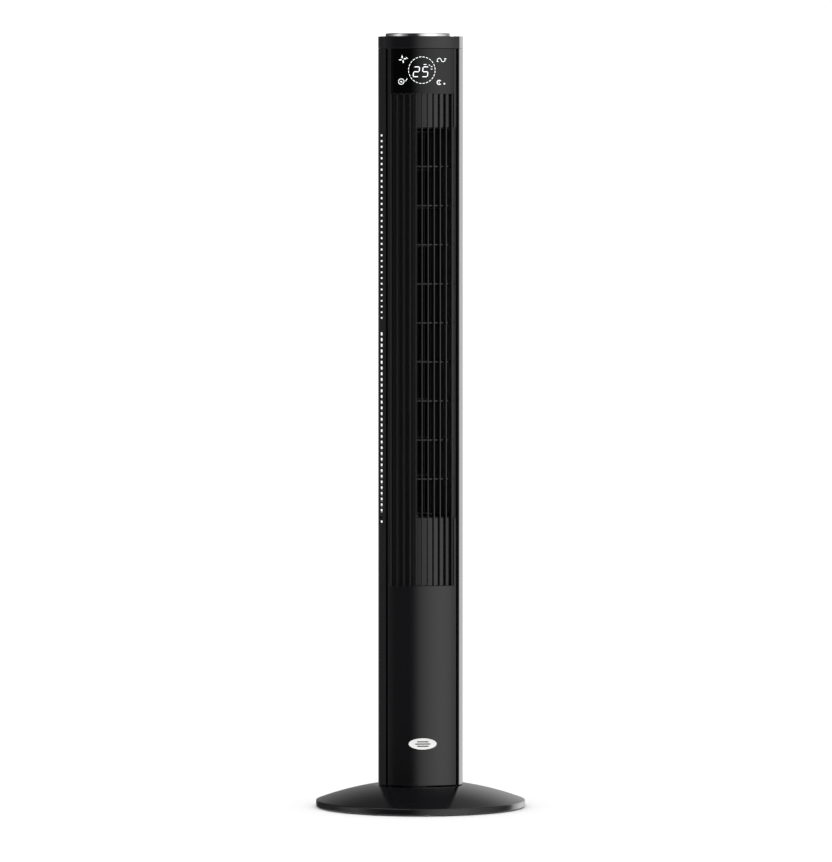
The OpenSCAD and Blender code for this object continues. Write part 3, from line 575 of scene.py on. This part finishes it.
# White enamelled plastic: clean and glossy, with a very slight 5 mm unevenness.
white_enamel, tree, surface = blank("white_enamelled_plastic")
place = add(tree, "ShaderNodeTexCoord")
uneven = add(tree, "ShaderNodeTexNoise", {"Vector": place.outputs["Object"], "Scale": 1 / (5 * MM)})
enamel_colour = add(tree, "ShaderNodeMix", {0: uneven.outputs["Fac"], 6: linear("#f4f4f2"),
                                            7: linear("#fcfcfb")}, data_type="RGBA")
shader = add(tree, "ShaderNodeBsdfPrincipled", {
    "Base Color": enamel_colour.outputs[2], "Roughness": 0.25, "IOR": 1.5})
tree.links.new(shader.outputs["BSDF"], surface)

front_radius = 110 * MM
front_reach = 46.8 * MM
front_centre = front_radius - front_reach
badge_low, badge_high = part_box("badge")
badge_height = (badge_low.z + badge_high.z) / 2
badge_half_w = (badge_high.x - badge_low.x) / 2
badge_half_h = (badge_high.z - badge_low.z) / 2


def on_front(x, z, proud):
    """The point that stands proud of the front's curve at x and z."""
    return (x, front_centre - math.sqrt((front_radius + proud) ** 2 - x ** 2), z)


# How far the plate stands off the panel, from its middle (0) to its edge (1)
badge_section = [(0.02, 0.7), (0.8, 0.7), (0.86, 0.75), (0.9, 1.0), (0.95, 1.08), (0.985, 0.9),
                 (1.0, 0.55), (1.0, 0.0), (0.02, 0.0)]
badge_steps = 96
badge_points = [on_front(badge_half_w * t * math.cos(2 * math.pi * s / badge_steps),
                         badge_height + badge_half_h * t * math.sin(2 * math.pi * s / badge_steps),
                         stand * MM)
                for t, stand in badge_section for s in range(badge_steps)]
rows = len(badge_section)
badge_faces = [(k * badge_steps + s, k * badge_steps + (s + 1) % badge_steps,
                (k + 1) * badge_steps + (s + 1) % badge_steps, (k + 1) * badge_steps + s)
               for k in range(rows - 1) for s in range(badge_steps)]
badge_faces += [tuple(range(badge_steps)),
                tuple(range(rows * badge_steps - 1, (rows - 1) * badge_steps - 1, -1))]
badge_plate = mesh_piece("badge_plate", badge_points, badge_faces, white_enamel)
face_outward(badge_plate)
crisp(badge_plate)
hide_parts("badge")
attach(badge_plate, "tower")
badge_plate.visible_glossy = False

bar_height = 1.5 * MM
bar_gap = 3.4 * MM
bar_back, bar_face = 0.72 * MM, 0.95 * MM
end_taper = 0.35
bar_steps = 12
for i, half_width in enumerate((9 * MM, 12 * MM, 9 * MM)):
    middle_z = badge_height + (i - 1) * bar_gap
    bar_points = []
    for k in range(bar_steps + 1):
        x = -half_width + 2 * half_width * k / bar_steps
        half = bar_height / 2 * (end_taper if k in (0, bar_steps) else 1.0)
        bar_points += [on_front(x, middle_z - half, bar_back), on_front(x, middle_z + half, bar_back),
                       on_front(x, middle_z + half, bar_face), on_front(x, middle_z - half, bar_face)]
    bar_faces = [(4 * k + a, 4 * k + (a + 1) % 4, 4 * k + 4 + (a + 1) % 4, 4 * k + 4 + a)
                 for k in range(bar_steps) for a in range(4)]
    bar_faces += [(0, 1, 2, 3), tuple(4 * bar_steps + a for a in (3, 2, 1, 0))]
    bar = mesh_piece(f"badge_bar_{i + 1}", bar_points, bar_faces, abs_gloss, smooth=False)
    face_outward(bar)
    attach(bar, "tower")


# ---------- Display ----------
# A smoked acrylic window with the lit ring, digits and signs set flush in its
# face. Each lit part is a white diffuser over its own LEDs.

# Smoked acrylic: jet black and mirror smooth, its tint barely uneven over 60 mm.
smoked_acrylic, tree, surface = blank("smoked_acrylic")
place = add(tree, "ShaderNodeTexCoord")
ripple = add(tree, "ShaderNodeTexNoise", {"Vector": place.outputs["Object"], "Scale": 1 / (60 * MM)})
smoke = add(tree, "ShaderNodeMix", {0: ripple.outputs["Fac"], 6: linear("#010101"),
                                    7: linear("#040404")}, data_type="RGBA")
shader = add(tree, "ShaderNodeBsdfPrincipled", {
    "Base Color": smoke.outputs[2], "Roughness": 0.04, "IOR": 1.44})
tree.links.new(shader.outputs["BSDF"], surface)
dress(smoked_acrylic, "display_lens")

# Lit diffuser: cool white glow, a touch brighter over each LED, 4 mm apart.
lit_diffuser, tree, surface = blank("lit_white_diffuser")
place = add(tree, "ShaderNodeTexCoord")
spots = add(tree, "ShaderNodeTexVoronoi", {"Vector": place.outputs["Object"], "Scale": 1 / (4 * MM)})
glow = add(tree, "ShaderNodeMix", {0: spots.outputs["Distance"], 6: linear("#ffffff"),
                                   7: linear("#e6eef2")}, data_type="RGBA")
shader = add(tree, "ShaderNodeBsdfPrincipled", {
    "Base Color": linear("#d8dcde"), "Roughness": 0.4, "Emission Color": glow.outputs[2],
    "Emission Strength": 1.0})
tree.links.new(shader.outputs["BSDF"], surface)
dress(lit_diffuser, "display_ring", "display_digits", "display_icons")


# ---------- Top ----------
# The cap that closes the body, in polished ABS, with the round control plate
# let into it, five dished push buttons and a chrome ring round the plate.

dress(abs_gloss, "top_cap", "control_plate", "button_power", "button_speed", "button_mode",
      "button_swing", "button_timer")

# Bright chrome over plastic: a clean mirror, with hairline wipe marks near 2 mm.
chrome, tree, surface = blank("bright_chrome_plate")
place = add(tree, "ShaderNodeTexCoord")
wipes = add(tree, "ShaderNodeTexNoise", {"Vector": place.outputs["Object"], "Scale": 1 / (2 * MM)})
chrome_shine = add(tree, "ShaderNodeMapRange", {"Value": wipes.outputs["Fac"], "To Min": 0.05,
                                                "To Max": 0.11})
shader = add(tree, "ShaderNodeBsdfPrincipled", {
    "Base Color": linear("#f1f1f3"), "Roughness": chrome_shine.outputs[0], "Metallic": 1.0})
tree.links.new(shader.outputs["BSDF"], surface)

ring_box_low, ring_box_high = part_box("trim_ring")
ring_outer = (ring_box_high.x - ring_box_low.x) / 2
ring_width = 3.4 * MM
ring_inner = ring_outer - ring_width
ring_bottom, ring_top = ring_box_low.z, ring_box_high.z
ring_round = 1.3 * MM
ring_outline = ([(ring_outer, ring_bottom)]
                + arc(ring_outer - ring_round, ring_top - ring_round, ring_round, 0, 90, 8)
                + arc(ring_inner + ring_round, ring_top - ring_round, ring_round, 90, 180, 8)
                + [(ring_inner, ring_bottom)])
ring_middle = ((ring_box_low.x + ring_box_high.x) / 2, (ring_box_low.y + ring_box_high.y) / 2)
chrome_ring = lathe("chrome_ring", ring_outline, chrome, 192, ring_middle)
crisp(chrome_ring)
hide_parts("trim_ring")
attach(chrome_ring, "tower")
